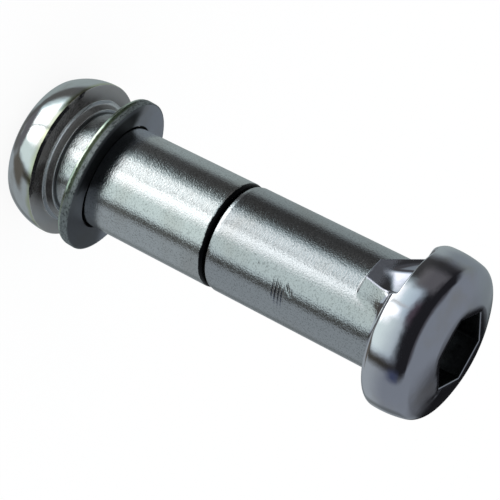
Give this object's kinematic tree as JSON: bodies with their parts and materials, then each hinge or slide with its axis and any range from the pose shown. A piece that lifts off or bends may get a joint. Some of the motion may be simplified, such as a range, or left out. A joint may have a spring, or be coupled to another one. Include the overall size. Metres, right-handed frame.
{
  "type": "seat binder bolt",
  "caption": "Shouldered bolt, loose flat washer and keyed sleeve nut that screw together end to end and clamp a seat tube's slotted lug.",
  "frame": {"origin": "centre of the flat land on the bolt's head, on which the part stands", "axes": "+Z along the common axis, from the bolt's head up to the nut's head; -Y towards the side that carries the key's near flank"},
  "size_m": [0.012, 0.012, 0.0357],
  "materials": {
    "bolt_steel": "plated steel: polished head, fine turned grain on the barrel",
    "washer_steel": "plated steel, lightly scuffed",
    "nut_steel": "plated steel: polished head, fine turned grain and scuffs on the barrel"
  },
  "bodies": {
    "bolt": {"binder_bolt": "bolt_steel"},
    "washer": {"washer": "washer_steel"},
    "nut": {"sleeve_nut": "nut_steel"}
  },
  "joints": [
    {"name": "screw_turn", "type": "hinge", "parent": "bolt", "child": "washer", "pos_m": [0, 0, 0.01715], "axis": [0, 0, 1], "range_deg": [0, 3240]},
    {"name": "nut_travel", "type": "slide", "parent": "washer", "child": "nut", "axis": [0, 0, 1], "range_m": [0, 0.009]}
  ],
  "couplings": [
    {"joint": "nut_travel", "follows": "screw_turn", "m_per_rad": 0.00015915}
  ]
}
